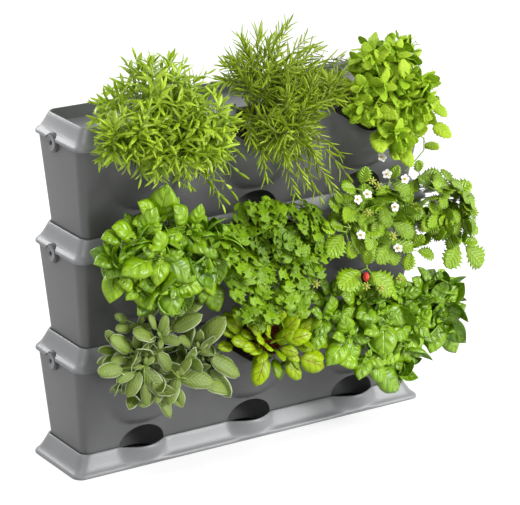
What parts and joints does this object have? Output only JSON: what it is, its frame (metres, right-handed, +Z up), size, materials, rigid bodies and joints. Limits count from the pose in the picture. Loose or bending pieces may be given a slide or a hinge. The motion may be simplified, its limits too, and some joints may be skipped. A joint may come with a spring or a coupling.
{
  "type": "vertical planter tower",
  "caption": "Free-standing tower of stacked trough planters on a drip tray, with pocket mouths along the front that hold herbs and strawberries.",
  "frame": {"origin": "middle of the drip tray's flat underside, on the surface that the tower stands on", "axes": "+X along the tower's length to the right as seen from the front, +Y to the back, +Z up; the pocket mouths face -Y"},
  "size_m": [0.734, 0.2315, 0.666],
  "materials": {
    "planter_plastic": "moulded polypropylene with a fine grain",
    "grommet": "smooth moulded plastic",
    "soil": "damp crumbly potting soil",
    "sage": "felted grey-green leaves with pale edges",
    "sorrel": "smooth yellow-green leaves with dark red veins",
    "basil_lower": "glossy domed green leaves",
    "basil_middle": "glossy domed green leaves",
    "parsley": "lobed green leaves on thin stalks",
    "strawberry": "toothed leaves in threes, white flowers and a red berry",
    "tarragon": "narrow light green leaves",
    "rosemary": "grey-green needles on woody stems",
    "lemon_balm": "scalloped oval light green leaves"
  },
  "bodies": {
    "tray": {"drip_tray": "planter_plastic"},
    "tier_lower": {"planter_lower": "planter_plastic", "cover_lower": "planter_plastic", "soil_lower": "soil", "sage": "sage", "sorrel": "sorrel", "basil_lower": "basil_lower"},
    "grommet_lower_left": {"grommet_lower_left": "grommet"},
    "grommet_lower_right": {"grommet_lower_right": "grommet"},
    "tier_middle": {"planter_middle": "planter_plastic", "cover_middle": "planter_plastic", "soil_middle": "soil", "basil_middle": "basil_middle", "parsley": "parsley", "strawberry": "strawberry"},
    "grommet_middle_left": {"grommet_middle_left": "grommet"},
    "grommet_middle_right": {"grommet_middle_right": "grommet"},
    "tier_upper": {"planter_upper": "planter_plastic", "cover_upper": "planter_plastic", "soil_upper": "soil", "tarragon": "tarragon", "rosemary": "rosemary", "lemon_balm": "lemon_balm"},
    "grommet_upper_left": {"grommet_upper_left": "grommet"},
    "grommet_upper_right": {"grommet_upper_right": "grommet"}
  },
  "joints": [
    {"name": "lift_lower", "type": "slide", "parent": "tray", "child": "tier_lower", "axis": [0, 0, 1], "range_m": [0, 0.08]},
    {"name": "pull_lower_left", "type": "slide", "parent": "tier_lower", "child": "grommet_lower_left", "axis": [-1, 0, 0], "range_m": [0, 0.02]},
    {"name": "pull_lower_right", "type": "slide", "parent": "tier_lower", "child": "grommet_lower_right", "axis": [1, 0, 0], "range_m": [0, 0.02]},
    {"name": "lift_middle", "type": "slide", "parent": "tier_lower", "child": "tier_middle", "axis": [0, 0, 1], "range_m": [0, 0.08]},
    {"name": "pull_middle_left", "type": "slide", "parent": "tier_middle", "child": "grommet_middle_left", "axis": [-1, 0, 0], "range_m": [0, 0.02]},
    {"name": "pull_middle_right", "type": "slide", "parent": "tier_middle", "child": "grommet_middle_right", "axis": [1, 0, 0], "range_m": [0, 0.02]},
    {"name": "lift_upper", "type": "slide", "parent": "tier_middle", "child": "tier_upper", "axis": [0, 0, 1], "range_m": [0, 0.08]},
    {"name": "pull_upper_left", "type": "slide", "parent": "tier_upper", "child": "grommet_upper_left", "axis": [-1, 0, 0], "range_m": [0, 0.02]},
    {"name": "pull_upper_right", "type": "slide", "parent": "tier_upper", "child": "grommet_upper_right", "axis": [1, 0, 0], "range_m": [0, 0.02]}
  ]
}
